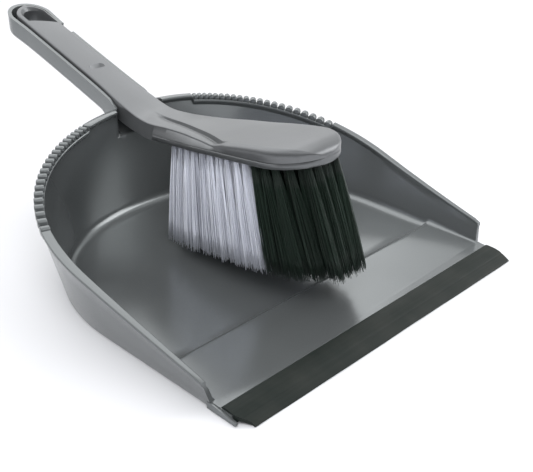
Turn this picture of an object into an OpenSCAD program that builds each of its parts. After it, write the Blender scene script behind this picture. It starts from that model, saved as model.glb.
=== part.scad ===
// Dust pan with a clip-in hand brush.
// The origin lies on the floor under the middle of the set, +Y towards the handle, +Z up.

/* [Pan] */
// Width of the tray's floor, outside
tray_w = 241; // [220:1:260]
// Length of the straight part of the side walls, from their front edges
straight_d = 91; // [80:1:110]
// Depth of the rounded back of the tray
round_d = 119.6; // [110:1:130]
// Squareness of the rounded back: 2 is an ellipse
squareness = 2.12; // [2:0.02:2.4]
// Thickness of the tray's walls
wall_t = 2.6; // [2:0.1:3.5]
// Thickness of the tray's floor
floor_t = 2.5; // [2:0.1:3.5]
// Height of the rim at the front edges
rim_front_h = 17.3; // [12:0.1:24]
// Rise of the rim per millimetre towards the back
rim_slope = 0.239; // [0.2:0.001:0.26]
// Outward lean of the side walls per millimetre of height
flare = 0.255; // [0.15:0.005:0.3]
// Width of the rim at the back
rim_w = 5.7; // [5:0.1:7]

/* [Comb] */
// Number of teeth on each side of the handle
tooth_n = 21; // [8:1:21]
// Height of the teeth, and depth of the gaps between them
tooth_h = 3.5; // [2:0.1:4.5]

/* [Lip] */
// Length of the rubber lip
lip_w = 240; // [236:0.5:240]
// How far the lip's tip lies in front of the tray's walls
lip_reach = 25; // [22:0.5:28]

/* [Handles] */
// Slope of the handles above the floor, in degrees
slope = 17.2; // [16:0.1:18]
// Half the width of the brush handle
grip_r = 12.2; // [11:0.1:12.4]
// Thickness of the brush handle
grip_t = 13; // [11:0.1:13]
// Half the width inside the pan's handle
trough_r = 13.2; // [13.2:0.1:14]
// Radius of the hanging hole in the pan's handle
hang_r = 6.5; // [4:0.1:7]

/* [Brush head] */
// Half the width of the brush head, and the radius of its tip
head_r = 27; // [25:0.5:28]
// Height of the tuft block's visible side
block_t = 4; // [3:0.1:4.2]

/* [Bristles] */
// Free length of the bristles
bristle_l = 64; // [50:1:66]
// Distance between the rows of tufts
row_pitch = 7.5; // [7.4:0.05:7.5]
// Radius of a tuft where it leaves the block
tuft_r = 2.3; // [1.5:0.1:2.4]
// Radius of a tuft at its spread end
tuft_end_r = 3.7; // [2.5:0.1:3.8]

/* [Hidden] */
WHITE_N = 10;
BLACK_N = 5;
function row_name(colour, i) = str(colour, "_tuft_row_", i < 10 ? "0" : "", i);

// Heights and distances below are measured from the tray's front edges, and moved by mid_y at the end.
GRIP_Y = 246;
GRIP_Z = 96;
rise = tan(slope);
RING_Y = 334;
RING_R = 17;
RING_WALL = 2.8;
mid_y = (RING_Y + RING_R - lip_reach) / 2;
EPS = 0.05;

module place() translate([0, -mid_y, 0]) children();

// ---- Tray ----

half_w = tray_w / 2;
RIM_CURVE = 0.0003;
RIM_T = 2;
RIM_OUT = 0.4;
RIM_FRONT_W = 3;
FRONT_LEAN = 0.16;
FLARE_POWER = 1.8;
FILLET = 4;

// Points and outward directions along the rounded back, t = 0 at the side and 90 at the middle
function back_point(t) = [
    half_w * pow(cos(t), 2 / squareness),
    straight_d + round_d * pow(sin(t), 2 / squareness)
];
function unit(v) = v / norm(v);
function back_dir(t) = unit([
    pow(cos(t), 2 - 2 / squareness) / half_w,
    pow(sin(t), 2 - 2 / squareness) / round_d
]);
function rim_h(y) = rim_front_h + rim_slope * y + RIM_CURVE * y * y;
function rim_width(y) = RIM_FRONT_W + (rim_w - RIM_FRONT_W) * min(1, y / 110);

// Angle of tooth i's middle, and the share of the pitch that each corner of a tooth stands from it
COMB_START = 67.6;
PITCH = 1.88;
PITCH_GROWTH = 0.025;
function tooth_t(i) = COMB_START - PITCH * i - PITCH_GROWTH * i * i;
function tooth_pitch(i) = PITCH + 2 * PITCH_GROWTH * i;
TOOTH = [[-0.44, 0], [-0.24, 1], [0.24, 1], [0.44, 0]];

// One station is [point, outward direction, depth of the comb, height of the tooth]
function station(t, comb, tooth) = [back_point(t), back_dir(t), comb, tooth];
comb_end = tooth_t(tooth_n - 0.4);
front_stations = [for (y = [0, 12, 50]) [[half_w, y], [1, 0], 0, 0]];
side_stations = [for (k = [0:3]) station(comb_end * k / 3.2, 0, 0)];
comb_stations = [
    for (i = [tooth_n - 1:-1:0])
        for (c = TOOTH)
            station(tooth_t(i) + c[0] * tooth_pitch(i), 1, c[1])
];
pad_stations = [for (t = [COMB_START + 1.2, 72, 77, 82, 86]) station(t, 0, 0)];
right = concat(front_stations, side_stations, comb_stations, pad_stations);
function mirrored(s) = [[-s[0][0], s[0][1]], [-s[1][0], s[1][1]], s[2], s[3]];
stations = concat(
    [for (s = right) mirrored(s)],
    [for (i = [len(right) - 1:-1:0]) right[i]]
);

// The wall's section at a station, as [distance outwards, height], from the outer foot to the floor
function section(s) =
    let (
        lean = flare * pow(abs(s[1][0]), FLARE_POWER),
        base = rim_h(s[0][1]) - s[2] * tooth_h,
        top = base + s[3] * tooth_h,
        under = base - RIM_T,
        edge = lean * base + RIM_OUT,
        w = rim_width(s[0][1])
    ) [
        [0, 0],
        [lean * (under - 1), under - 1],
        [edge, under],
        [edge, top],
        [edge - w, top],
        [edge - w, under],
        [lean * (under - 2) - wall_t, under - 2],
        [lean * (floor_t + FILLET) - wall_t, floor_t + FILLET],
        [-wall_t - FILLET, floor_t]
    ];
SECTION_N = 9;
function wall_point(s, p) = [
    s[0][0] + s[1][0] * p[0],
    s[0][1] + s[1][1] * p[0] + (s[0][1] == 0 ? FRONT_LEAN * p[1] : 0),
    p[1]
];

module tray() {
    n = len(stations);
    points = [for (s = stations) for (p = section(s)) wall_point(s, p)];
    function at(i, j) = i * SECTION_N + j;
    strips = [
        for (i = [0:n - 2])
            for (j = [0:SECTION_N - 2])
                for (f = [
                    [at(i, j), at(i + 1, j), at(i + 1, j + 1)],
                    [at(i, j), at(i + 1, j + 1), at(i, j + 1)]
                ]) f
    ];
    top = SECTION_N - 1;
    plates = [
        for (i = [0:n / 2 - 2])
            for (f = [
                [at(i, top), at(i + 1, top), at(n - 2 - i, top), at(n - 1 - i, top)],
                [at(i, 0), at(n - 1 - i, 0), at(n - 2 - i, 0), at(i + 1, 0)]
            ]) f
    ];
    caps = [[0, 1, 6, 7], [0, 7, 8], [1, 2, 5, 6], [2, 3, 4, 5]];
    front = concat(
        [for (c = caps) [for (j = c) at(0, j)]],
        [for (c = caps) [for (k = [len(c) - 1:-1:0]) at(n - 1, c[k])]],
        [[at(0, 0), at(0, top), at(n - 1, top), at(n - 1, 0)]]
    );
    polyhedron(points, concat(strips, plates, front), convexity = 6);
}

// ---- Front ramp, with the tongue that carries the lip ----

FOLD_Y = 38.8;
FOLD_Z = 5.4;
LIP_Y = -6;
TONGUE = [1.4, 4.2];
TONGUE_Y = -14;
CHEEK_T = 1.6;
CHEEK_GAP = 0.2;

module ramp() {
    profile = [
        [TONGUE_Y, TONGUE[0]], [2, TONGUE[0]], [8, 0], [FOLD_Y + 5, 0], [FOLD_Y + 5, floor_t],
        [FOLD_Y, FOLD_Z], [LIP_Y + 2, 4.6], [LIP_Y, 4.6], [LIP_Y, TONGUE[1]], [TONGUE_Y, TONGUE[1]]
    ];
    reach = lip_w / 2 + CHEEK_GAP + EPS;
    rotate([90, 0, 90]) translate([0, 0, -reach]) linear_extrude(2 * reach) polygon(profile);
}

// Small cheek that closes the end of the lip's groove
module cheek() {
    profile = [[3, 0], [3, 4.6], [-8, 3.4], [-17, 2], [-18, 0]];
    rotate([90, 0, 90]) linear_extrude(CHEEK_T) polygon(profile);
}

// ---- Pan handle: a trough that takes the brush handle ----

MOUTH_R = 15.2;
MOUTH_Z = 62;
back_y = straight_d + round_d;
TROUGH_TOP = 2;
TROUGH_WALL = 2.3;
TROUGH_DEPTH = 14;
function grip_z(y) = GRIP_Z + rise * (y - GRIP_Y);

// Plan of the trough, outside (d = 0) or inside (d = wall)
module trough_plan(d) {
    wide = MOUTH_R + TROUGH_WALL + 0.7 - d;
    mid = trough_r + TROUGH_WALL - d;
    front = back_y - (d > 0 ? 12 : 1.2);
    half = [
        [wide, front], [wide, back_y + 0.6], [mid + 1.1, back_y + 6],
        [mid + 0.4, back_y + 15], [mid, back_y + 24], [mid, RING_Y]
    ];
    polygon(concat(half, [for (i = [len(half) - 1:-1:0]) [-half[i][0], half[i][1]]]));
    translate([0, RING_Y]) circle(RING_R - (d > 0 ? RING_WALL : 0), $fn = 64);
}

// Side view of the trough, outside (d = 0) or inside (d = the depth that is open)
module trough_side(d) {
    depth = (TROUGH_DEPTH + (d > 0 ? 0 : 2)) / cos(slope);
    sill = MOUTH_Z - (d > 0 ? 0 : 4.5);
    start = back_y - (d > 0 ? 12 : 1.2);
    end = RING_Y + RING_R + 4;
    top = (d > 0 ? 30 : -TROUGH_TOP) / cos(slope);
    polygon([
        [start, sill], [back_y + 1.5, sill], [back_y + 11, sill + 8.6],
        [back_y + 18, grip_z(back_y + 18) - depth], [end, grip_z(end) - depth],
        [end, grip_z(end) + top], [start, grip_z(start) + top]
    ]);
}

module trough_body(d) {
    intersection() {
        linear_extrude(200) trough_plan(d);
        rotate([90, 0, 90]) translate([0, 0, -25]) linear_extrude(50) trough_side(d);
    }
}

SLOT = [13, 6];
SLOT_V = 6.5;
EYE_V = 89;
NOTCH_V = 65;
NOTCH_L = 13.5;

// Moves its children to the brush handle's top surface, v millimetres along it
module on_grip(v) translate([0, GRIP_Y, GRIP_Z]) rotate([slope, 0, 0]) translate([0, v, 0]) children();
module slot_cut() on_grip(SLOT_V) cube([SLOT[0], SLOT[1], 60], center = true);
module hang_bore() on_grip(EYE_V) translate([0, 0, -25]) cylinder(h = 20, r = hang_r, $fn = 64);
module finger_notch() on_grip(NOTCH_V) translate([trough_r - 2, -NOTCH_L / 2, -9]) cube([8, NOTCH_L, 20]);

module pan() color([0.55, 0.57, 0.6]) place() difference() {
    union() {
        tray();
        ramp();
        translate([lip_w / 2 + CHEEK_GAP, 0, 0]) cheek();
        translate([-lip_w / 2 - CHEEK_GAP - CHEEK_T, 0, 0]) cheek();
        trough_body(0);
    }
    trough_body(TROUGH_WALL);
    slot_cut();
    hang_bore();
    finger_notch();
}

// ---- Rubber lip: pushed onto the tongue ----

module rubber_lip() color([0.24, 0.25, 0.25]) place() {
    gap = 0.1;
    outer = [
        [-lip_reach, 0], [LIP_Y - gap, 0], [LIP_Y - gap, 5.3], [LIP_Y - 2, 5.8], [LIP_Y - 6, 5.8],
        [LIP_Y - 12, 4], [-lip_reach + 1, 0.9], [-lip_reach, 0.6]
    ];
    groove = [
        [LIP_Y + 1, TONGUE[0] - gap], [LIP_Y + 1, TONGUE[1] + gap],
        [TONGUE_Y - 0.4, TONGUE[1] + gap], [TONGUE_Y - 0.4, TONGUE[0] - gap]
    ];
    rotate([90, 0, 90]) translate([0, 0, -lip_w / 2]) linear_extrude(lip_w) difference() {
        polygon(outer);
        polygon(groove);
    }
}

// ---- Brush cover and tuft block ----

TIP_Y = 31.7;
NOSE_END = 61;
NOSE_POWER = 2.1;
NOSE_L = NOSE_END - TIP_Y;
BLOCK_END = 167;
COVER_END = 343;
END_ROUND = 11.7;

// Height of the cover's shoulder and of the head's underside along the brush
TOP_Z = [
    [31.7, 93], [33.7, 95.6], [38, 97.7], [44.5, 98.6], [60, 96.9], [81, 93], [100, 88.8], [121, 84.8], [135, 82.8],
    [155, 80.3], [170, 78.5], [182, 78.4], [190, 79.2], [198, 81.1], [208, 84.1]
];
UNDER_Z = [
    [31.7, 88.8], [50, 86.1], [70, 83.6], [88, 81.5], [110, 79], [128, 76.4], [146, 73.2], [165, 70.5],
    [180, 69], [195, 69], [208, 70.5]
];
HALF_W = [
    [95, 1], [121, 0.985], [135, 0.9], [155, 0.79], [169, 0.73], [178, 0.67], [187, 0.595], [198, 0.56],
    [208, 0.533], [225, 0.482], [232, 0.468], [246, 0.452]
];
CROWN = 1.5;

function top_z(y) = y < 208 ? lookup(y, TOP_Z) : grip_z(y);
function under_z(y) = y < 208 ? lookup(y, UNDER_Z) : grip_z(y) - grip_t / cos(slope);
function seam_z(y) = under_z(y) + block_t;
function nose_w(u) = head_r * pow(1 - pow(u, NOSE_POWER), 1 / NOSE_POWER);
function brush_w(y) =
    y < NOSE_END ? nose_w((NOSE_END - y) / NOSE_L) :
    y < GRIP_Y ? head_r * lookup(y, HALF_W) * (y > 225 ? grip_r / 12.2 : 1) :
    y < COVER_END - END_ROUND ? grip_r :
    grip_r * sqrt(max(0, 1 - pow((y - COVER_END + END_ROUND) / END_ROUND, 2)));

TIP_STEPS = [for (a = [14:14:84]) TIP_Y + NOSE_L * (1 - cos(a))];
HEAD_STEPS = [61, 70, 81, 91, 100, 110, 121, 128, 135, 145, 155];
NECK_STEPS = [BLOCK_END + 0.3, 174, 182, 190, 198, 208, 217, 225, 236, GRIP_Y, 290];
END_STEPS = [for (a = [0:15:75]) COVER_END - END_ROUND * (1 - sin(a))];

// Joins rings of points, each with the same number of points, into a closed solid
module skin(rings) {
    n = len(rings);
    m = len(rings[0]);
    function at(i, j) = i * m + (j + m) % m;
    sides = [
        for (i = [0:n - 2])
            for (j = [0:m - 1])
                for (f = [
                    [at(i, j), at(i + 1, j), at(i + 1, j + 1)],
                    [at(i, j), at(i + 1, j + 1), at(i, j + 1)]
                ]) f
    ];
    ends = [[for (j = [0:m - 1]) at(0, j)], [for (j = [m - 1:-1:0]) at(n - 1, j)]];
    polyhedron([for (r = rings) for (p = r) p], concat(sides, ends), convexity = 6);
}

// A crowned section at y, from height low to height top, with half width w
function crowned(y, w, low, top, crown) =
    let (e = min(2.4, w * 0.3, (top - low) * 0.5)) [
        [-w, y, low], [-w, y, top - e], [-w + e * 0.3, y, top - e * 0.3], [-w + e, y, top],
        [-w * 0.5, y, top + crown * 0.7], [0, y, top + crown], [w * 0.5, y, top + crown * 0.7],
        [w - e, y, top], [w - e * 0.3, y, top - e * 0.3], [w, y, top - e], [w, y, low]
    ];

module cover_outside() {
    head = [for (y = concat(TIP_STEPS, HEAD_STEPS, [BLOCK_END]))
        crowned(y, brush_w(y), seam_z(y), top_z(y), CROWN)];
    grip = [for (y = concat(NECK_STEPS, END_STEPS))
        crowned(y, brush_w(y), under_z(y), top_z(y), CROWN)];
    skin(concat(head, grip));
}

// The hollow under the cover, which the tuft block's plug fills with a little clearance
SHELL_T = 2.2;
PLUG_STEPS = concat([for (a = [28:14:84]) TIP_Y + NOSE_L * (1 - cos(a))], HEAD_STEPS, [162]);
function plug_top(y) = max(seam_z(y) + 0.8, min(top_z(y) - SHELL_T, seam_z(y) + 5));
module plug(grow) {
    skin([for (y = PLUG_STEPS)
        let (w = brush_w(y) - SHELL_T - 0.3 + grow, top = plug_top(y) - 0.3 + grow, low = seam_z(y) - 1)
            [[-w, y, low], [-w, y, top], [w, y, top], [w, y, low]]
    ]);
}

// The hanging eye at the end of the grip: round at the back, with a slanted straight edge in front
EYE_R = 8.8;
EYE = [1, 88];
EYE_FRONT = [80.4, 71.4];
module eye_cut() on_grip(0) linear_extrude(60, center = true) translate([EYE[0], 0]) {
    translate([0, EYE[1]]) circle(EYE_R, $fn = 64);
    polygon([[-EYE_R, EYE_FRONT[0]], [EYE_R, EYE_FRONT[1]], [EYE_R, EYE[1]], [-EYE_R, EYE[1]]]);
}

// Groove along the near side of the head, between the shoulder and the raised top
GROOVE = [[-0.5, 178], [-2, 160], [-6.5, 140], [-12, 121.5], [-18.5, 105], [-23.5, 94]];
module side_groove() {
    for (i = [0:len(GROOVE) - 2]) hull() {
        for (g = [GROOVE[i], GROOVE[i + 1]])
            translate([g[0], g[1], top_z(g[1]) - 0.5]) cylinder(h = 8, r = 1.2, $fn = 16);
    }
}

module brush_cover() color([0.62, 0.64, 0.66]) place() difference() {
    cover_outside();
    plug(0.3);
    slot_cut();
    eye_cut();
    side_groove();
}

// ---- Tufts: each is folded round a metal anchor in a blind hole ----

ROW_START = 143.4;
TUFT_INSET = 3.6;
TUFT_GAP = 9.2;
SEAT = 3.6;
FAN_X = [[38, 1], [80, 1.22]];
FAN_Y = 0.33;
FAN_CURVE = 0.001;
FAN_SHIFT = 1.7;
ROOT_Y = 146.7;

function row_y(i) = ROW_START - row_pitch * i;
function row_half(y) = brush_w(y - tuft_r) - TUFT_INSET;
function row_count(y) = round(2 * row_half(y) / TUFT_GAP) + 1;
function row_xs(y) = [for (k = [0:row_count(y) - 1]) row_half(y) * (2 * k / (row_count(y) - 1) - 1)];

// How far the bristles of a tuft at x, d in front of ROOT_Y, spread sideways and forwards down to their ends
function fan(x, d) = [x * (lookup(ROOT_Y - d, FAN_X) - 1), FAN_CURVE * d * d - FAN_Y * d - FAN_SHIFT];

// Moves its children to the foot of a tuft, with -Z along the bristles
module at_tuft(x, y) {
    spread = fan(x, ROOT_Y - y);
    lean = asin(norm(spread) / bristle_l);
    turn = atan2(spread[1], spread[0]);
    translate([x, y, under_z(y)]) rotate([0, 0, turn]) rotate([0, -lean, 0]) children();
}
module in_row(i) for (x = row_xs(row_y(i))) at_tuft(x, row_y(i)) children();

ANCHOR = [4, 0.4, 1.1];
TUFT_TOP = SEAT - ANCHOR[2] - 0.2;
module tuft_row(i, shade) color(shade) place() in_row(i) {
    translate([0, 0, -bristle_l]) cylinder(h = bristle_l, r1 = tuft_end_r, r2 = tuft_r, $fn = 24);
    translate([0, 0, -EPS]) cylinder(h = TUFT_TOP + EPS, r = tuft_r, $fn = 24);
}
module anchors(first, last) color([0.75, 0.72, 0.6]) place() for (i = [first:last]) in_row(i)
    translate([-ANCHOR[0] / 2, -ANCHOR[1] / 2, TUFT_TOP + 0.1]) cube(ANCHOR);

module tuft_block() color([0.5, 0.52, 0.55]) place() difference() {
    union() {
        skin([for (y = concat(TIP_STEPS, HEAD_STEPS, [BLOCK_END]))
            let (w = brush_w(y), low = under_z(y), top = seam_z(y))
                [[-w + 0.5, y, low], [-w, y, low + 0.6], [-w, y, top], [w, y, top], [w, y, low + 0.6],
                 [w - 0.5, y, low]]
        ]);
        plug(0);
    }
    for (i = [0:WHITE_N + BLACK_N - 1]) in_row(i)
        translate([0, 0, -2]) cylinder(h = SEAT + 2, r = tuft_r + EPS, $fn = 24);
}

pan();
rubber_lip();
brush_cover();
tuft_block();
anchors(0, WHITE_N - 1);  // white_tuft_anchors
anchors(WHITE_N, WHITE_N + BLACK_N - 1);  // black_tuft_anchors
for (i = [1:WHITE_N])
    tuft_row(i - 1, [0.85, 0.87, 0.92]);
for (i = [1:BLACK_N])
    tuft_row(WHITE_N + i - 1, [0.08, 0.1, 0.09]);
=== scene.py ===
"""Looks of the dust pan and brush set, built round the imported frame.

Shapes are worked out in millimetres from the tray's front edges (y = 0) and the floor (z = 0).
"""

import math
import random

import bmesh
import bpy
from mathutils import Matrix, Vector


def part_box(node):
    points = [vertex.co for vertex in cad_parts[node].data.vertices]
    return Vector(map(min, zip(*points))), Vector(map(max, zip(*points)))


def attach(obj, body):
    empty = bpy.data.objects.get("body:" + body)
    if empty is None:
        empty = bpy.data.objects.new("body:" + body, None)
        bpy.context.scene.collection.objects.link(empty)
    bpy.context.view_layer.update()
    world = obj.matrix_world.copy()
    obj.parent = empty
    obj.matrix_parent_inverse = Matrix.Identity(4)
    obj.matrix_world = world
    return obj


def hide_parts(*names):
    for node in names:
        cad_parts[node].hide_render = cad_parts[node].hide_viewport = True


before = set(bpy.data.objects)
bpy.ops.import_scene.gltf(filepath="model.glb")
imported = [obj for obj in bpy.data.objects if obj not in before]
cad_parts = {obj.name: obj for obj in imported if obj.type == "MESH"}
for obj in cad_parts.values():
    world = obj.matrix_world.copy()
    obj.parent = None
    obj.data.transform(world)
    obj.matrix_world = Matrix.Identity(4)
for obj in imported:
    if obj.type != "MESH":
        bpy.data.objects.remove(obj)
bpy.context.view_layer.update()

MM = 0.001
# How far the lip reaches in front of the tray's front edges.
LIP_REACH = 25
FRONT_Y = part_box("rubber_lip")[0].y + LIP_REACH * MM


# ---- Helpers ----

def to_frame(p):
    """A point in millimetres from the tray's front edges, in the frame's metres."""
    return Vector((p[0] * MM, FRONT_Y + p[1] * MM, p[2] * MM))


def lerp(a, b, t):
    """The value a part t of the way from a to b."""
    return a + (b - a) * t


def smooth(t):
    """Eases from 0 to 1."""
    t = min(1, max(0, t))
    return t * t * (3 - 2 * t)


def curve(x, points):
    """A smooth curve through (x, value) points, level beyond its ends."""
    if x <= points[0][0]:
        return points[0][1]
    if x >= points[-1][0]:
        return points[-1][1]
    k = next(i for i in range(len(points) - 1) if x <= points[i + 1][0])

    def slope(i):
        lo, hi = max(i - 1, 0), min(i + 1, len(points) - 1)
        return (points[hi][1] - points[lo][1]) / (points[hi][0] - points[lo][0])

    (x0, v0), (x1, v1) = points[k], points[k + 1]
    span = x1 - x0
    t = (x - x0) / span
    return (
        v0 * (2 * t**3 - 3 * t**2 + 1) + slope(k) * span * (t**3 - 2 * t**2 + t)
        + v1 * (3 * t**2 - 2 * t**3) + slope(k + 1) * span * (t**3 - t**2)
    )


def steps(start, end, count):
    """Evenly spaced values from start to end, count of them."""
    return [lerp(start, end, i / (count - 1)) for i in range(count)]


def radians(start, end, count):
    """Evenly spaced angles, given in degrees."""
    return [math.radians(a) for a in steps(start, end, count)]


def arc(centre, radius, start, end, count):
    """Points on an arc in a plane, with its angles in degrees."""
    return [
        (centre[0] + radius * math.cos(a), centre[1] + radius * math.sin(a))
        for a in radians(start, end, count)
    ]


def solid(name, points, faces):
    """A closed object from points in millimetres, with its faces turned outwards."""
    mesh = bpy.data.meshes.new(name)
    mesh.from_pydata([to_frame(p) for p in points], [], faces)
    bm = bmesh.new()
    bm.from_mesh(mesh)
    bmesh.ops.remove_doubles(bm, verts=bm.verts, dist=1e-6)
    bmesh.ops.triangulate(bm, faces=[f for f in bm.faces if len(f.verts) > 4])
    bmesh.ops.recalc_face_normals(bm, faces=bm.faces)
    bm.to_mesh(mesh)
    bm.free()
    piece = bpy.data.objects.new(name, mesh)
    bpy.context.scene.collection.objects.link(piece)
    return piece


def loft(name, rings):
    """Joins rings with the same number of points into a closed object."""
    n = len(rings[0])
    faces = [
        (i * n + j, (i + 1) * n + j, (i + 1) * n + (j + 1) % n, i * n + (j + 1) % n)
        for i in range(len(rings) - 1) for j in range(n)
    ]
    faces.append(list(range(n)))
    faces.append([(len(rings) - 1) * n + j for j in range(n)])
    return solid(name, [p for ring in rings for p in ring], faces)


def tube_faces(first, sides, count):
    """Faces of a closed tube: count rings of sides points, starting at point first."""
    faces = []
    for i in range(count - 1):
        for k in range(sides):
            a, b = first + i * sides + k, first + i * sides + (k + 1) % sides
            faces.append((a, b, b + sides, a + sides))
    for end in (first, first + (count - 1) * sides):
        faces.append(tuple(end + k for k in range(sides)))
    return faces


def cut(piece, other, operation="DIFFERENCE"):
    """Applies a boolean to piece, and removes the other object."""
    step = piece.modifiers.new("cut", "BOOLEAN")
    step.operation = operation
    step.object = other
    step.solver = "EXACT"
    bpy.context.view_layer.objects.active = piece
    bpy.ops.object.modifier_apply(modifier=step.name)
    bpy.data.objects.remove(other)


def shade(piece, angle=32):
    """Smooth shading that keeps edges sharper than angle."""
    for polygon in piece.data.polygons:
        polygon.use_smooth = True
    piece.data.set_sharp_from_angle(angle=math.radians(angle))


def finish_piece(piece, body, slot, material, *nodes):
    """Gives a piece its material, its body and the CAD nodes that it stands for."""
    piece.data.materials.clear()
    piece.data.materials.append(material)
    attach(piece, body)
    if nodes:
        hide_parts(*nodes)


# ---- Materials ----

# How metallic the flakes make the plastic.
METALLIC = 0.6


def new_material(name):
    """A material with its shader, a function that adds nodes and one that feeds the shader."""
    material = bpy.data.materials.new(name)
    material.use_nodes = True
    tree = material.node_tree
    shader = tree.nodes["Principled BSDF"]

    def add(kind, inputs=None, **settings):
        node = tree.nodes.new(kind)
        for key, value in settings.items():
            setattr(node, key, value)
        for key, value in (inputs or {}).items():
            if isinstance(value, bpy.types.NodeSocket):
                tree.links.new(value, node.inputs[key])
            else:
                node.inputs[key].default_value = value
        return node

    def feed(node, socket):
        tree.links.new(node.outputs[0], shader.inputs[socket])

    return material, shader, add, feed


def set_stops(ramp, stops):
    """Gives a new colour ramp its (position, colour) stops."""
    elements = ramp.color_ramp.elements
    for i, (position, colour) in enumerate(stops):
        stop = elements[i] if i < 2 else elements.new(position)
        stop.position = position
        stop.color = (*colour, 1)


def plastic(name, dark, light, rough):
    """Silver-grey moulded plastic: faint flow marks, fine grain and slight handling wear."""
    material, shader, add, feed = new_material(name)
    place = add("ShaderNodeTexCoord").outputs["Object"]
    stretched = add("ShaderNodeMapping", {"Vector": place, "Scale": (9, 5, 14)})
    flow = add(
        "ShaderNodeTexNoise", {"Vector": stretched.outputs[0], "Scale": 1.0, "Detail": 2.0}
    )
    speck = add("ShaderNodeTexNoise", {"Vector": place, "Scale": 1400.0, "Detail": 1.0})
    wear = add("ShaderNodeTexNoise", {"Vector": place, "Scale": 18.0, "Detail": 3.0})
    flake = add("ShaderNodeMath", {0: speck.outputs[0], 1: 0.35}, operation="MULTIPLY")
    blend = add("ShaderNodeMath", {0: flow.outputs[0], 1: flake.outputs[0]}, operation="ADD")
    ramp = add("ShaderNodeValToRGB", {"Fac": blend.outputs[0]})
    ramp.color_ramp.interpolation = "EASE"
    set_stops(ramp, [(0.3, dark), (1, light)])
    feed(ramp, "Base Color")
    roughness = add(
        "ShaderNodeMapRange",
        {"Value": wear.outputs[0], "From Min": 0.2, "From Max": 0.8,
         "To Min": rough - 0.03, "To Max": rough + 0.05},
        interpolation_type="SMOOTHSTEP",
    )
    feed(roughness, "Roughness")
    grain = {"Height": speck.outputs[0], "Strength": 0.04, "Distance": 0.0001}
    feed(add("ShaderNodeBump", grain), "Normal")
    shader.inputs["Metallic"].default_value = METALLIC
    return material


def rubber(name):
    """Dark satin rubber with extrusion lines along its length and a little dust."""
    material, shader, add, feed = new_material(name)
    place = add("ShaderNodeTexCoord").outputs["Object"]
    along = add("ShaderNodeMapping", {"Vector": place, "Scale": (6, 900, 900)})
    lines = add("ShaderNodeTexNoise", {"Vector": along.outputs[0], "Scale": 1.0, "Detail": 4.0})
    dust = add("ShaderNodeTexNoise", {"Vector": place, "Scale": 60.0, "Detail": 7.0})
    ramp = add("ShaderNodeValToRGB", {"Fac": dust.outputs[0]})
    set_stops(ramp, [(0.4, (0.007, 0.011, 0.009)), (0.75, (0.016, 0.019, 0.016))])
    feed(ramp, "Base Color")
    roughness = add("ShaderNodeMapRange", {
        "Value": lines.outputs[0], "From Min": 0.3, "From Max": 0.7, "To Min": 0.5, "To Max": 0.64,
    })
    feed(roughness, "Roughness")
    ridges = {"Height": lines.outputs[0], "Strength": 0.25, "Distance": 0.0002}
    feed(add("ShaderNodeBump", ridges), "Normal")
    shader.inputs["Specular IOR Level"].default_value = 0.25
    return material


def bristle(name, dark, light, rough):
    """Nylon filament: each filament has its own tone, and painted shade darkens it towards its
    root.
    """
    material, shader, add, feed = new_material(name)
    # The "shade" attribute holds each filament's own tone times painted shade that darkens the
    # part nearest the head.
    tone = add("ShaderNodeAttribute", attribute_name="shade")
    place = add("ShaderNodeTexCoord").outputs["Object"]
    fine = add("ShaderNodeTexNoise", {"Vector": place, "Scale": 900.0, "Detail": 2.0})
    faint = add("ShaderNodeMath", {0: fine.outputs[0], 1: 0.3}, operation="MULTIPLY")
    total = add("ShaderNodeMath", {0: tone.outputs["Fac"], 1: faint.outputs[0]}, operation="ADD")
    ramp = add("ShaderNodeValToRGB", {"Fac": total.outputs[0]})
    set_stops(ramp, [(0.15, dark), (1.0, light)])
    feed(ramp, "Base Color")
    roughness = add("ShaderNodeMapRange", {
        "Value": fine.outputs[0], "To Min": rough - 0.08, "To Max": rough + 0.08,
    })
    feed(roughness, "Roughness")
    return material


def metal(name):
    """Drawn metal strip of the anchors."""
    material, shader, add, feed = new_material(name)
    place = add("ShaderNodeTexCoord").outputs["Object"]
    scratch = add("ShaderNodeTexNoise", {"Vector": place, "Scale": 1500.0, "Detail": 3.0})
    roughness = add(
        "ShaderNodeMapRange", {"Value": scratch.outputs[0], "To Min": 0.25, "To Max": 0.5}
    )
    feed(roughness, "Roughness")
    shader.inputs["Base Color"].default_value = (0.62, 0.58, 0.46, 1)
    shader.inputs["Metallic"].default_value = 1.0
    return material


PAN_PLASTIC = plastic("pan_plastic", (0.16, 0.17, 0.172), (0.2, 0.212, 0.215), 0.2)
BRUSH_PLASTIC = plastic("brush_plastic", (0.15, 0.155, 0.16), (0.18, 0.186, 0.191), 0.315)
BLOCK_PLASTIC = plastic("block_plastic", (0.14, 0.146, 0.15), (0.17, 0.176, 0.181), 0.32)
RUBBER = rubber("lip_rubber")
WHITE = bristle("white_bristle", (0.66, 0.68, 0.77), (0.9, 0.92, 0.99), 0.45)
BLACK = bristle("black_bristle", (0.001, 0.004, 0.002), (0.02, 0.036, 0.026), 0.34)
METAL = metal("anchor_metal")


# ---- Tray ----

# Outline at the foot of the wall: straight sides, then a squared half ellipse at the back.
HALF_W = 120.5
STRAIGHT = 91
ROUND_D = 119.6
SQUARE = 2.12
BACK_Y = STRAIGHT + ROUND_D
# Wall: its thickness, its flare (greatest at the sides) and how far its front edges lean back.
WALL = 2.6
FLARE = 0.255
FLARE_POWER = 1.8
FRONT_LEAN = 0.16
# Rim: height at the front, its rise and the rise's growth; width at the front and the gain.
RIM_Z = 17.3
RIM_RISE = 0.239
RIM_GROWTH = 0.0003
RIM_W = 3
RIM_GAIN = 2.7
# Rim's thickness, its overhang and the radius of its edges.
RIM_T = 2.0
RIM_OUT = 0.4
RIM_R = 0.7
# Floor: its height, the fold in front of it, and the front edge of the ramp.
FLOOR = 2.5
FOLD_Y = 38.8
FOLD_Z = 5.3
FOLD_L = 5
APRON_Y = -6
APRON_Z = 4.6
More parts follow.
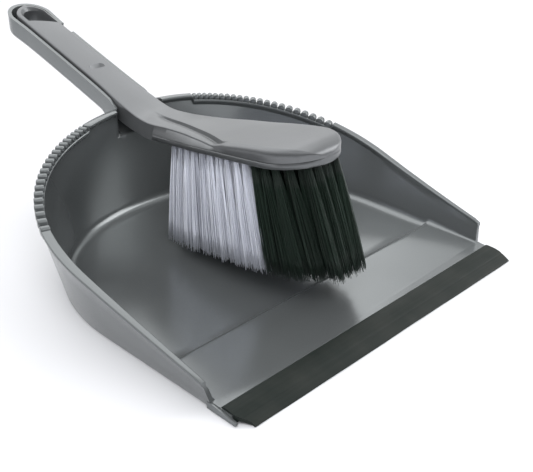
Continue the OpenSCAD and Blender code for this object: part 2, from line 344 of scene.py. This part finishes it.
# Comb: number and height of the teeth, place of the first, their pitch and how fast it grows.
TOOTH_N = 21
TOOTH_H = 3.5
COMB_START = 67.6
PITCH = 1.88
GROWTH = 0.025
# Sides of a tooth's section, and its rounded ends as (distance from the end, part of the radius).
TOOTH_SIDES = 16
TOOTH_ROUND = [(0, 0.76), (0.2, 0.92), (0.6, 1)]


def rim_height(y):
    """Height of the rim above the ground."""
    return RIM_Z + RIM_RISE * y + RIM_GROWTH * y * y


def rim_width(y):
    """Width of the rim's flange, which grows towards the back."""
    return RIM_W + RIM_GAIN * min(1, y / 110)


def fillet_radius(y):
    """The inside corner between floor and wall is tighter towards the front."""
    return lerp(2.2, 7, smooth(y / 70))


def floor_height(y):
    """Height of the tray's floor: a ramp in front of the fold, level behind it."""
    if y < FOLD_Y:
        return lerp(APRON_Z, FOLD_Z, (y - APRON_Y) / (FOLD_Y - APRON_Y))
    return lerp(FOLD_Z, FLOOR, smooth((y - FOLD_Y) / FOLD_L))


def back_point(t):
    """The point at t degrees on the outline's back, and the direction out of it."""
    c, s = math.cos(math.radians(t)), math.sin(math.radians(t))
    point = (HALF_W * c ** (2 / SQUARE), STRAIGHT + ROUND_D * s ** (2 / SQUARE))
    out = Vector((c ** (2 - 2 / SQUARE) / HALF_W, s ** (2 - 2 / SQUARE) / ROUND_D))
    return point, out.normalized()


def tooth_angle(i):
    """Where tooth i stands on the outline's back, in degrees."""
    return COMB_START - PITCH * i - GROWTH * i * i


def tray_section(y, out, comb):
    """The wall's section as (distance outwards, height), from under the floor round to its top.

    comb goes from 0 on the plain rim to 1 where the rim is lower to take the teeth.
    """
    lean = FLARE * abs(out[0]) ** FLARE_POWER
    top = rim_height(y) - comb * TOOTH_H
    under = top - RIM_T
    edge = lean * top + RIM_OUT
    w = rim_width(y)
    outside = [(-3, 0), (-1.2, 0), (-0.35, 0.3), (0, 1)]
    outside += [(lean * z, z) for z in steps(2.5, under - 1.2, 5)]
    flange = [(lean * under + 0.1, under - 0.4), (edge - 0.15, under), (edge, under + 0.3)]
    flange += arc((edge - RIM_R, top - RIM_R), RIM_R, 0, 90, 4)
    flange += arc((edge - w + RIM_R, top - RIM_R), RIM_R, 90, 180, 4)
    flange += [(edge - w, under + 0.5), (edge - w + 0.25, under)]
    inside = [(lean * (under - 2.4) - WALL, under - 2.6)]
    r = fillet_radius(y)
    start = floor_height(y) + r
    inside += [(lean * z - WALL, z) for z in steps(under - 4.5, start + 0.5, 4)]
    wall_x = lean * start - WALL
    fillet = [
        (wall_x - r * (1 - math.cos(a)), start - r * math.sin(a)) for a in radians(0, 90, 7)
    ]
    return outside + flange + inside + fillet


def tray_stations():
    """Places along the right side: (x, y), the direction outwards and how far the comb is in."""
    front = [0, 6, 14, 24, 32, 37, FOLD_Y, 39.8, 41, 42.4, FOLD_Y + FOLD_L, 50, 62, 76, 87]
    comb_end = tooth_angle(TOOTH_N - 0.45)
    angles = [(t, 0) for t in steps(0, comb_end - 0.9, 9)]
    angles += [(comb_end - 0.35, 0), (comb_end - 0.1, 0.25), (comb_end, 0.9), (comb_end + 0.1, 1)]
    angles += [(t, 1) for t in steps(comb_end + 0.8, COMB_START + 0.4, 44)]
    edge = COMB_START + 1.15
    angles += [(edge - 0.1, 0.95), (edge, 0.4), (edge + 0.15, 0.1), (edge + 0.45, 0)]
    angles += [(t, 0) for t in steps(edge + 1.4, 88.6, 14)]
    stations = [((HALF_W, y), (1, 0), 0) for y in front]
    for t, comb in angles:
        point, out = back_point(t)
        stations.append((point, tuple(out), comb))
    return stations


def tray_solid():
    """The tray: its wall swept along both sides, with a floor between them."""
    right = tray_stations()
    left = [((-p[0], p[1]), (-d[0], d[1]), comb) for p, d, comb in right]
    path = left + right[::-1]
    points, n = [], len(path)
    for (x, y), d, comb in path:
        lean = FRONT_LEAN if y == 0 else 0
        for u, z in tray_section(y, d, comb):
            points.append((x + d[0] * u, y + d[1] * u + lean * z, z))
    m = len(points) // n
    faces = [
        (i * m + j, (i + 1) * m + j, (i + 1) * m + j + 1, i * m + j + 1)
        for i in range(n - 1) for j in range(m - 1)
    ]
    for i in range(n // 2 - 1):
        for j in (0, m - 1):
            faces.append((i * m + j, (i + 1) * m + j, (n - 2 - i) * m + j, (n - 1 - i) * m + j))
    faces.append(list(range(m)) + [(n - 1) * m + j for j in range(m - 1, -1, -1)])
    return solid("pan_body", points, faces)


def comb_teeth():
    """Round bars side by side across the rim, each a closed solid sunk a little into it."""
    points, faces = [], []
    for i in range(TOOTH_N):
        (x, y), d = back_point(tooth_angle(i))
        before, after = back_point(tooth_angle(i - 0.5))[0], back_point(tooth_angle(i + 0.5))[0]
        radius = 0.5 * math.dist(before, after)
        lean = FLARE * d[0] ** FLARE_POWER
        base = rim_height(y) - TOOTH_H
        width = rim_width(y) + 0.5
        half_l = width / 2 - 0.25
        middle = lean * base + RIM_OUT + 0.5 - width / 2 + 0.1
        centre = base + TOOTH_H - radius
        rings = [(-half_l + inset, size) for inset, size in TOOTH_ROUND]
        rings += [(half_l - inset, size) for inset, size in TOOTH_ROUND[::-1]]
        for side in (-1, 1):
            across = Vector((side * d[0], d[1]))
            along = Vector((-across[1], across[0]))
            faces += tube_faces(len(points), TOOTH_SIDES, len(rings))
            for u, size in rings:
                for j in range(TOOTH_SIDES):
                    a = 2 * math.pi * j / TOOTH_SIDES
                    q = Vector((side * x, y)) + across * (middle + u)
                    q = q + along * (radius * size * math.cos(a))
                    points.append((q[0], q[1], centre + radius * size * math.sin(a)))
    return solid("comb_teeth", points, faces)


# ---- Trough handle ----

# The grip's slope, and a point on the line along its top.
SLOPE = math.radians(17.2)
GRIP_Y = 246
GRIP_Z = 96
# Trough: depth below that line, thickness of its floor, and how far its walls stay below the line.
TROUGH_DEPTH = 14
TROUGH_T = 2
TROUGH_TOP = 2
# Mouth at the tray: where the hollow begins, its height and the radius of its sill.
MOUTH_Y = 207.6
MOUTH_Z = 62
SILL_R = 1.8
# Ring at the end: its centre, and its radius outside and inside.
RING_Y = 334
RING_R = 17
END_R = 14.2
# Half widths along the trough.
OUTER_HALF = [(206, 16.5), (211, 16.4), (220, 16), (236, 15.6), (290, 15.5), (318, 16), (334, 17)]
INNER_HALF = [(207.4, 19.5), (207.7, 18.2), (208.4, 16.9), (209.6, 15.6), (211.4, 14.9),
              (213.5, 14.4), (217, 14.1), (225, 13.6), (234, 13.3), (246, 13.2), (316, 13.2),
              (326, 13.8), (334, 14.2)]
# Tongue inside the lip, and the tabs that close the ends of the lip's groove.
TONGUE_Y = -14
CHEEK_X = (120.2, 121.8)
# Cuts, placed along the grip (V), across it (X) and above it (W), with their sizes.
SLOT_V = 6.5
SLOT = (13, 6)
NOTCH_V = 65
NOTCH_X = 15.5
NOTCH_W = -3.5
NOTCH = (9, 13.5, 11)
EYE_V = 89
BORE_W = -15
BORE_R = 6.5
BORE_L = 8


def grip_height(y):
    """Height of the line along the grip's top."""
    return GRIP_Z + math.tan(SLOPE) * (y - GRIP_Y)


def on_grip(v, x=0, w=0):
    """The point v along the grip's top, x across it and w above it, in millimetres."""
    c, s = math.cos(SLOPE), math.sin(SLOPE)
    return (x, GRIP_Y + v * c - w * s, GRIP_Z + v * s + w * c)


def trough_floor(y):
    """Height of the trough's inside floor: over a round sill at the mouth, then along the grip."""
    line = grip_height(y) - TROUGH_DEPTH / math.cos(SLOPE)
    sill = SILL_R - math.sqrt(max(0, SILL_R**2 - max(0, MOUTH_Y + SILL_R - y) ** 2))
    return lerp(MOUTH_Z, line, smooth((y - 209) / 20)) - sill


def trough_under(y):
    """Height of the trough's underside."""
    line = grip_height(y) - (TROUGH_DEPTH + TROUGH_T) / math.cos(SLOPE)
    return lerp(MOUTH_Z - 4.5, line, smooth((y - 206) / 24))


def trough_top(y):
    """The walls' top runs level with the rim at the mouth and rises to the grip's slope."""
    line = grip_height(y) - TROUGH_TOP / math.cos(SLOPE)
    return lerp(rim_height(BACK_Y) + 0.1, line, smooth((y - 208.5) / 11))


def trough_rings(ys, halves, end_r, low, high, radius):
    """Rings across the trough at each y and round its end, with rounded lower corners."""
    places = [(y, curve(y, halves)) for y in ys]
    places += [(RING_Y + end_r * math.sin(a), end_r * math.cos(a)) for a in radians(8, 88, 12)]
    rings = []
    for y, w in places:
        r = min(radius, w * 0.5)
        lower = arc((w - r, low(y) + r), r, 0, -90, 5)
        ring = [(w, high(y))] + lower + [(-x, z) for x, z in lower[::-1]] + [(-w, high(y))]
        rings.append([(x, y, z) for x, z in ring])
    return rings


def trough_solid():
    """The outside of the trough, before its hollow is cut."""
    ys = steps(208.8, 236, 24) + steps(244, RING_Y, 22)
    return loft("trough", trough_rings(ys, OUTER_HALF, RING_R, trough_under, trough_top, 3.2))


def trough_hollow():
    """What is cut out of the trough, open at the top and towards the tray."""
    ys = [200, 207.4, 207.5, 207.6, 207.8, 208.1, 208.5, 209, 209.6]
    ys += steps(210.4, 236, 24) + steps(244, RING_Y, 24)
    rings = trough_rings(ys, INNER_HALF, END_R, trough_floor, lambda y: grip_height(y) + 30, 2.2)
    return loft("hollow", rings)


def block_cut(centre, size):
    """A box to cut with, centred on a point in millimetres and tilted with the grip."""
    bpy.ops.mesh.primitive_cube_add(size=1)
    box = bpy.context.object
    turn = Matrix.Rotation(SLOPE, 4, "X")
    scale = Matrix.Diagonal((size[0] * MM, size[1] * MM, size[2] * MM, 1))
    box.data.transform(Matrix.Translation(to_frame(centre)) @ turn @ scale)
    return box


def drum_cut(centre, radius, length):
    """A drum to cut with, centred on a point in millimetres and tilted with the grip."""
    bpy.ops.mesh.primitive_cylinder_add(vertices=64, radius=radius * MM, depth=length * MM)
    drum = bpy.context.object
    turn = Matrix.Rotation(SLOPE, 4, "X")
    drum.data.transform(Matrix.Translation(to_frame(centre)) @ turn)
    return drum


def apron():
    """Front strip of the floor with the tongue inside the rubber lip."""
    profile = [(3, 1.0), (3, APRON_Z + 0.16), (-5.6, APRON_Z), (APRON_Y, APRON_Z - 0.4),
               (APRON_Y, 4.2), (TONGUE_Y, 4.2), (TONGUE_Y, 1.4), (-2, 1.2)]
    return loft("apron", [[(x, y, z) for y, z in profile] for x in (-120.6, 120.6)])


def cheek(side):
    """Tab that closes the end of the lip's groove."""
    profile = [(3, 0.3), (3, 4.6), (-2, 4.2), (-9, 3.4), (-16.4, 2.3), (-17.6, 1.7), (-18, 0.9),
               (-17.4, 0.1)]
    return loft("cheek", [[(side * x, y, z) for y, z in profile] for x in CHEEK_X])


def make_pan():
    """The pan in one piece, and the bars of its comb."""
    pan = tray_solid()
    for addition in (apron(), cheek(1), cheek(-1), trough_solid()):
        cut(pan, addition, "UNION")
    cut(pan, trough_hollow())
    cut(pan, block_cut(on_grip(SLOT_V, w=-TROUGH_DEPTH), (*SLOT, TROUGH_DEPTH)))
    cut(pan, block_cut(on_grip(NOTCH_V, x=NOTCH_X, w=NOTCH_W), NOTCH))
    cut(pan, drum_cut(on_grip(EYE_V, w=BORE_W), BORE_R, BORE_L))
    shade(pan)
    finish_piece(pan, "pan", "pan_plastic", PAN_PLASTIC, "pan")
    teeth = comb_teeth()
    shade(teeth, 50)
    finish_piece(teeth, "pan", "pan_plastic", PAN_PLASTIC)


# ---- Rubber lip ----

LIP_HALF = 120
# Section as (y, z): from the tip over the top to the back, through the groove, then underneath.
LIP_OUTLINE = [
    (-25, 0.05), (-24.9, 0.55), (-24.2, 1.2), (-22.6, 2.1), (-20.8, 3), (-19.3, 3.65),
    (-18.9, 3.78), (-18.6, 4.05), (-17.6, 4.5), (-16.2, 4.92), (-14.4, 5.28), (-12, 5.58),
    (-9, 5.7), (-7, 5.6), (-6.4, 5.3), (-6.15, 4.8), (-6.2, 4.35), (-14.3, 4.35), (-14.5, 4.1),
    (-14.5, 1.6), (-14.3, 1.3), (-6.2, 1.3), (-6.15, 0.8), (-6.4, 0.2), (-7, 0.02),
    (-15.6, 0.02), (-16, 0.4), (-16.3, 1.7), (-17.4, 2), (-20.6, 1), (-23.4, 0.35), (-24.4, 0),
]


def make_lip():
    """Extruded lip with a slightly wavy tip, and a near end that slants back towards the tip."""
    rings = []
    for x in steps(-LIP_HALF, LIP_HALF, 121):
        wave = 0.2 * math.sin(x * 0.05 + 0.6) + 0.1 * math.sin(x * 0.17)
        near_end = smooth((-100 - x) / 20)
        ring = []
        for y, z in LIP_OUTLINE:
            tip = smooth((-y - 15) / 9)
            rise = 0.1 * tip * (1 + math.sin(x * 0.09))
            ring.append((x + 5 * tip * near_end, y + (0.15 + 0.4 * wave) * tip, z + rise))
        rings.append(ring)
    lip = loft("rubber_strip", rings)
    shade(lip, 22)
    finish_piece(lip, "pan", "lip_rubber", RUBBER, "rubber_lip")


# ---- Brush ----

# Head seen from above: half its width, its front end and where the rounded front ends.
HEAD_R = 27
TIP_Y = 31.7
NOSE_END = 61
NOSE_L = NOSE_END - TIP_Y
NOSE_POWER = 2.1
# Tuft block: its back end and its thickness.
BLOCK_END = 167
BLOCK_T = 4
# Grip: where it becomes straight, its end, how far the end is rounded, thickness, half width.
STRAIGHT_Y = 220
COVER_END = 343
END_ROUND = 11.7
GRIP_T = 13
GRIP_R = 12.2
# Heights of the top and of the underside, and half the width, along the brush.
TOP_Z = [(31.7, 93.6), (32.4, 95.2), (34, 96.8), (37.5, 98.1), (43, 98.8), (60, 96.9), (81, 93),
         (100, 88.8), (121, 84.8), (135, 82.6), (155, 80.1), (170, 78.5), (182, 78.3), (190, 79.1),
         (198, 81.1), (208, 84.2), (220, 87.97)]
UNDER_Z = [(31.7, 88.8), (50, 86.1), (70, 83.6), (88, 81.5), (110, 79), (128, 76.4), (146, 73.2),
           (165, 70.5), (180, 69), (195, 69.2), (208, 71.2), (220, 74.6)]
WIDTH = [(61, 27), (70, 27), (95, 27), (121, 26.6), (135, 24.3), (155, 21.3), (169, 19.7),
         (178, 18.1), (187, 16.2), (198, 15), (208, 14.3), (225, 13), (232, 12.6), (246, 12.2)]
# Radius of the top's edges, and how far its middle is crowned.
EDGE_R = [(34, 1), (40, 4), (60, 4.2), (100, 3), (150, 2.2), (220, 1.8), (343, 1.8)]
CROWN = [(34, 0.3), (46, 1.2), (100, 1.6), (170, 1.4), (246, 0.9), (343, 0.9)]
# Side groove: where it runs, how far the near shoulder lies below the raised top, the part of
# that left at the shoulder's edge, and how far the edge is set in and lifted.
GROOVE_X = [(90, -28), (94, -23.8), (105, -18.3), (121.5, -11.8), (140, -6.4), (158, -2.4),
            (172, -0.6), (184, 0.2)]
STEP_DEPTH = [(92, 0), (97, 0.9), (103, 2.2), (110, 2.2), (125, 1.7), (160, 1.3), (176, 0.9),
              (188, 0)]
STRIP = [(96, 0.8), (110, 0.35), (125, 0.05), (188, 0)]
INSET = [(90, 0), (108, 2), (130, 3.4), (160, 3), (190, 1.2), (215, 0)]
LIFT = [(98, 0), (112, 0.8), (130, 1.7), (160, 1.6), (190, 0.4), (205, 0)]


def top_z(y):
    """Height of the cover's top edges."""
    return curve(y, TOP_Z) if y < STRAIGHT_Y else grip_height(y)


def under_z(y):
    """Height of the brush's underside."""
    return curve(y, UNDER_Z) if y < STRAIGHT_Y else grip_height(y) - GRIP_T / math.cos(SLOPE)


def seam_z(y):
    """Height of the seam between tuft block and cover."""
    return under_z(y) + BLOCK_T


def brush_half(y):
    """Half the brush's width."""
    if y < NOSE_END:
        return HEAD_R * (1 - ((NOSE_END - y) / NOSE_L) ** NOSE_POWER) ** (1 / NOSE_POWER)
    if y < GRIP_Y:
        return curve(y, WIDTH)
    if y < COVER_END - END_ROUND:
        return GRIP_R
    return GRIP_R * math.sqrt(max(0, 1 - ((y - COVER_END + END_ROUND) / END_ROUND) ** 2))


def nose_ys():
    """Places round the front of the head, closer together towards its tip."""
    return [TIP_Y + NOSE_L * (1 - math.cos(a)) for a in radians(7, 86, 18)]


def cover_ring(y, low):
    """One section of the cover, from its near lower edge over the top to its far lower edge."""
    w = brush_half(y)
    high = top_z(y)
    e = min(curve(y, EDGE_R), w * 0.45, (high - low) * 0.6)
    crown = curve(y, CROWN)
    g = min(max(curve(y, GROOVE_X), -w + e + 2.5), w * 0.2)
    depth, strip = curve(y, STEP_DEPTH), curve(y, STRIP)
    inset, lift = curve(y, INSET), curve(y, LIFT)
    near = lerp(e, 1.2, smooth((y - 88) / 14) * smooth((212 - y) / 14))
    top = steps(-w + inset + near, g - 2.2, 7)[:-1]
    top += [g + k for k in (-2.2, -1.5, -0.9, -0.45, -0.15, 0.1, 0.35, 0.8, 1.6)]
    top += steps(g + 1.6, w - e, 16)[1:]

    def surface(x):
        """Height of the top: crowned, lower on the near side of the groove."""
        z = high + crown * (1 - (x / max(w - e * 0.5, 1)) ** 2) * 0.9
        side = smooth((g + 0.3 - x) / 0.75)
        dip = math.exp(-((x - g + 1.0) / 0.9) ** 2) * 0.9
        out = smooth((g - x) / 9)
        return z - depth * side * lerp(1, strip, out) - dip * min(1, depth) + lift * out

    shoulder = -w + inset
    left = surface(shoulder + near)
    right = surface(w - e)
    start = [(-w, low), (lerp(-w, shoulder, 0.4), lerp(low, left - near, 0.5))]
    edge_l = [
        (shoulder + near - near * math.cos(a), left - near + near * math.sin(a))
        for a in radians(0, 78, 6)
    ]
    edge_r = arc((w - e, right - e), e, 78, 0, 6)
    end = [(w, lerp(low, right - e, 0.5)), (w, low)]
    flat = [(x, surface(x)) for x in top]
    bottom = [(x, low) for x in steps(w * 0.9, -w * 0.9, 6)]
    return [(x, y, z) for x, z in start + edge_l + flat + edge_r + end + bottom]


def dish_cut(name, outline, inner, depth):
    """A hole through the grip whose edge slopes from outline at the top to inner, depth below."""
    levels = [(outline, 4), (outline, 1.2), (inner, -depth), (inner, -30)]
    return loft(name, [[on_grip(v, x, w) for x, v in shape] for shape, w in levels])


def eye_cut():
    """The hanging eye: round at the back, with a slanted straight edge in front."""
    inner = [(-7, 80), (9.6, 71.5)] + arc((1.2, 88), 8.4, 0, 180, 25)
    outer = [(-10.6, 81), (10.6, 70.7)] + arc((0.2, 88.4), 10.6, 0, 180, 25)
    return dish_cut("eye", outer, inner, 1.6)


def slot_cut():
    """A slot with round ends and a scooped far side."""
    def rounded(x0, x1, v0, v1):
        r = (v1 - v0) / 2
        return arc((x1 - r, v0 + r), r, -90, 90, 7) + arc((x0 + r, v0 + r), r, 90, 270, 7)

    low, high = SLOT_V - SLOT[1] / 2, SLOT_V + SLOT[1] / 2
    outer = rounded(-6.5, 6.5, low, high)
    inner = rounded(-6.3, 3.5, low + 0.1, low + 2.6)
    return dish_cut("slot", outer, inner, 1.8)


def make_cover():
    """The cover in one piece: the head down to its seam, the neck and the grip."""
    head = nose_ys() + steps(62, BLOCK_END - 1, 64) + [BLOCK_END]
    neck = [BLOCK_END + 0.4] + steps(BLOCK_END + 2, GRIP_Y, 44)
    grip = steps(252, COVER_END - END_ROUND - 4, 12)
    grip += [COVER_END - END_ROUND * (1 - math.sin(a)) for a in radians(0, 85, 14)]
    rings = [cover_ring(y, seam_z(y) + 0.25) for y in head]
    rings += [cover_ring(y, under_z(y)) for y in neck + grip]
    cover = loft("cover_shell", rings)
    cut(cover, slot_cut())
    cut(cover, eye_cut())
    shade(cover, 30)
    finish_piece(cover, "brush", "brush_plastic", BRUSH_PLASTIC, "brush_cover")


def make_block():
    """Tuft block: a convex band round the foot of the head, with a fine seam above it."""
    rings = []
    for y in nose_ys() + steps(62, BLOCK_END, 50):
        w, low, top = brush_half(y), under_z(y), seam_z(y) - 0.15
        half = [(w - 1.3, low), (w - 0.35, low + 0.35), (w + 0.1, low + 1.3), (w + 0.2, low + 2.2),
                (w + 0.05, top - 0.5), (w - 0.4, top), (w - 1.4, top), (w - 1.5, top + 0.6)]
        rings.append([(x, y, z) for x, z in half + [(-x, z) for x, z in half[::-1]]])
    block = loft("tuft_plate", rings)
    shade(block, 34)
    finish_piece(block, "brush", "block_plastic", BLOCK_PLASTIC, "tuft_block")


# ---- Bristles ----

# Rows, from the handle's end: how many of each colour, the first row's place and their pitch.
WHITE_N = 10
BLACK_N = 5
ROW_START = 143.4
ROW_PITCH = 7.5
# Across a row: about how far apart the tufts stand, and their distance from the head's edge.
TUFT_GAP = 9.2
TUFT_EDGE = 3.6
# A tuft's radius at its hole and at its tip. The black ones at the front stay narrower.
TUFT_R = 2.2
TUFT_END_R = 6
FRONT_END_R = 4.6
# Free length, and how much longer it is at the front.
BRISTLE_L = 64
FRONT_EXTRA = 4
# Fan: sideways spread by place along the brush, forward lean by distance in front of ROOT_Y.
FAN_X = [(46, -0.16), (64, 0.08), (84, 0.22)]
ROOT_Y = 146.7
FAN_Y = 0.33
FAN_CURVE = 0.00112
FAN_SHIFT = 1.7
# Filaments in a tuft, their radius, sides and rings.
FILAMENTS = 125
FILAMENT_R = 0.225
STRAND_SIDES = 3
STRAND_RINGS = 6


def row_xs(y):
    """Where the tufts of the row at y stand."""
    half = brush_half(y - TUFT_R) - TUFT_EDGE
    count = round(2 * half / TUFT_GAP) + 1
    return [half * (2 * k / (count - 1) - 1) for k in range(count)]


def fan(x, y):
    """How far the tuft at (x, y) spreads sideways and forwards down to its end."""
    d = ROOT_Y - y
    return x * curve(y, FAN_X), FAN_CURVE * d * d - FAN_Y * d - FAN_SHIFT


def filament(points, tones_with_root_shade, faces, root, tip, bow, tone):
    """Adds a thin three-sided strand from root to tip, bowed a little in the middle."""
    faces += tube_faces(len(points), STRAND_SIDES, STRAND_RINGS)
    axis = (tip - root).normalized()
    u = axis.cross(Vector((0.3, 1, 0.1))).normalized()
    v = axis.cross(u)
    for t in steps(0, 1, STRAND_RINGS):
        p = root.lerp(tip, t) + bow * math.sin(math.pi * t)
        r = FILAMENT_R * (1 if t < 1 else 0.55)
        for k in range(STRAND_SIDES):
            a = 2 * math.pi * k / STRAND_SIDES
            points.append(p + (u * math.cos(a) + v * math.sin(a)) * r)
            # Painted shade: the first third of each filament, next to the head, is darkened to as
            # little as 0.72 of its tone.
            tones_with_root_shade.append(tone * lerp(0.72, 1, min(1, t * 3)))


def make_row(name, y, material, slot, node, seed):
    """One cross row of tufts, each a bundle of filaments that fans out from its hole."""
    rng = random.Random(seed)
    points, tones_with_root_shade, faces = [], [], []
    length = BRISTLE_L + FRONT_EXTRA * smooth((80 - y) / 40)
    end_r = lerp(TUFT_END_R, FRONT_END_R, smooth((60 - y) / 15))
    for x in row_xs(y):
        dx, dy = fan(x, y)
        drop = math.sqrt(length**2 - dx * dx - dy * dy)
        tuft_tone = rng.uniform(-0.08, 0.08)
        for _ in range(FILAMENTS):
            a, r = rng.uniform(0, 2 * math.pi), math.sqrt(rng.random())
            c, s = math.cos(a) * r, math.sin(a) * r
            root = Vector((x + c * TUFT_R, y + s * TUFT_R, under_z(y) + 1.5))
            spread = end_r * rng.uniform(0.88, 1.15)
            reach = rng.gauss(0, 0.8) - (2.5 if rng.random() < 0.1 else 0) * rng.random()
            tip = Vector((x + dx + c * spread, y + dy + s * spread, under_z(y) - drop))
            tip = root + (tip - root) * (1 + reach / length)
            bow = Vector((c * 0.55 + rng.gauss(0, 0.25), s * 0.45 + rng.gauss(0, 0.25), 0))
            tone = min(1, max(0, 0.6 + tuft_tone + rng.gauss(0, 0.2)))
            filament(points, tones_with_root_shade, faces, root, tip, bow, tone)
    mesh = bpy.data.meshes.new(name)
    mesh.from_pydata([to_frame(p) for p in points], [], faces)
    # Stores each filament's tone, with the painted shade at its root, as the "shade" attribute.
    layer = mesh.attributes.new("shade", "FLOAT", "POINT")
    layer.data.foreach_set("value", tones_with_root_shade)
    piece = bpy.data.objects.new(name, mesh)
    bpy.context.scene.collection.objects.link(piece)
    for polygon in mesh.polygons:
        polygon.use_smooth = len(polygon.vertices) == 4
    finish_piece(piece, "brush", slot, material, node)


def make_bristles():
    """All rows: the white ones from the handle's end, then the black ones to the tip."""
    for i in range(WHITE_N + BLACK_N):
        y = ROW_START - ROW_PITCH * i
        if i < WHITE_N:
            colour, material, k = "white", WHITE, i + 1
        else:
            colour, material, k = "black", BLACK, i - WHITE_N + 1
        name, node = f"{colour}_bristles_{k:02d}", f"{colour}_tuft_row_{k:02d}"
        make_row(name, y, material, f"{colour}_bristle", node, i)


make_pan()
make_lip()
make_cover()
make_block()
make_bristles()
for node_name in ("white_tuft_anchors", "black_tuft_anchors"):
    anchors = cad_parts[node_name]
    anchors.data.materials.clear()
    anchors.data.materials.append(METAL)


# ---- Stage ----

# Brightness of the surroundings by how far a direction points along SKY_AIM: dark low down,
# brightest part of the way up.
SKY_AIM = (0.3, 0.3, 1)
SKY = [(0.05, 0.1), (0.4, 0.5), (0.6, 1.6), (0.78, 1.2), (1.0, 0.9)]
SKY_STRENGTH = 0.85


def make_floor():
    """A large pale floor a hair below the pan."""
    bpy.ops.mesh.primitive_plane_add(size=60, location=(0, 0, -0.0002))
    floor = bpy.context.object
    floor.name = "studio_floor"
    material, shader, add, feed = new_material("studio_floor")
    noise = add("ShaderNodeTexNoise", {"Scale": 3.0})
    roughness = add(
        "ShaderNodeMapRange", {"Value": noise.outputs[0], "To Min": 0.75, "To Max": 0.85}
    )
    feed(roughness, "Roughness")
    shader.inputs["Base Color"].default_value = (0.72, 0.72, 0.735, 1)
    shader.inputs["Specular IOR Level"].default_value = 0.1
    floor.data.materials.append(material)


def make_sky():
    """Soft surroundings for light and reflections."""
    world = bpy.data.worlds.new("studio")
    bpy.context.scene.world = world
    world.use_nodes = True
    tree = world.node_tree
    background = tree.nodes["Background"]
    direction = tree.nodes.new("ShaderNodeTexCoord")
    toward = tree.nodes.new("ShaderNodeVectorMath")
    toward.operation = "DOT_PRODUCT"
    toward.inputs[1].default_value = SKY_AIM
    tree.links.new(direction.outputs["Generated"], toward.inputs[0])
    sky = tree.nodes.new("ShaderNodeValToRGB")
    sky.color_ramp.interpolation = "EASE"
    set_stops(sky, [(place, (level * 0.99, level, level * 1.01)) for place, level in SKY])
    tree.links.new(toward.outputs["Value"], sky.inputs[0])
    tree.links.new(sky.outputs[0], background.inputs["Color"])
    background.inputs["Strength"].default_value = SKY_STRENGTH


def soft_light(name, place, aim, size, power, colour=(1, 1, 1)):
    """A rectangular lamp at place that shines towards aim."""
    lamp = bpy.data.lights.new(name, "AREA")
    lamp.shape = "RECTANGLE"
    lamp.size, lamp.size_y = size
    lamp.energy = power
    lamp.color = colour
    holder = bpy.data.objects.new(name, lamp)
    holder.location = place
    holder.rotation_euler = (Vector(aim) - Vector(place)).to_track_quat("-Z", "Y").to_euler()
    bpy.context.scene.collection.objects.link(holder)
    return holder


def make_lamps():
    """A large lamp overhead, a cool fill in front that reflections leave out, and a side lamp."""
    soft_light("overhead", (0.3, 0.9, 1.4), (0, 0.05, 0), (2.4, 1.8), 16)
    cool = (0.97, 0.98, 1)
    front = soft_light("front", (-0.75, -0.8, 1.1), (0, 0, 0.05), (1.1, 1.1), 16, cool)
    front.visible_glossy = False
    soft_light("side", (0.9, -0.55, 0.5), (0, 0, 0.06), (0.55, 0.7), 4.5)


def make_camera():
    """The view from the front left of the lip, looking down along the tray."""
    azimuth, elevation, roll = (math.radians(a) for a in (-45.49, 27.59, 0.232))
    eye = to_frame((-348.9, -261.8, 279.6))
    back = Vector((math.sin(azimuth) * math.cos(elevation),
                   -math.cos(azimuth) * math.cos(elevation), math.sin(elevation)))
    level = Vector((math.cos(azimuth), math.sin(azimuth), 0))
    up = back.cross(level)
    right = level * math.cos(roll) + up * math.sin(roll)
    up = back.cross(right)
    camera = bpy.data.cameras.new("camera")
    camera.sensor_width = 36
    camera.lens = 58.76
    camera.clip_start = 0.01
    holder = bpy.data.objects.new("camera", camera)
    holder.matrix_world = Matrix((
        (right.x, up.x, back.x, eye.x),
        (right.y, up.y, back.y, eye.y),
        (right.z, up.z, back.z, eye.z),
        (0, 0, 0, 1),
    ))
    bpy.context.scene.collection.objects.link(holder)
    bpy.context.scene.camera = holder


make_floor()
make_sky()
make_lamps()
make_camera()
bpy.context.scene.view_settings.view_transform = "Standard"
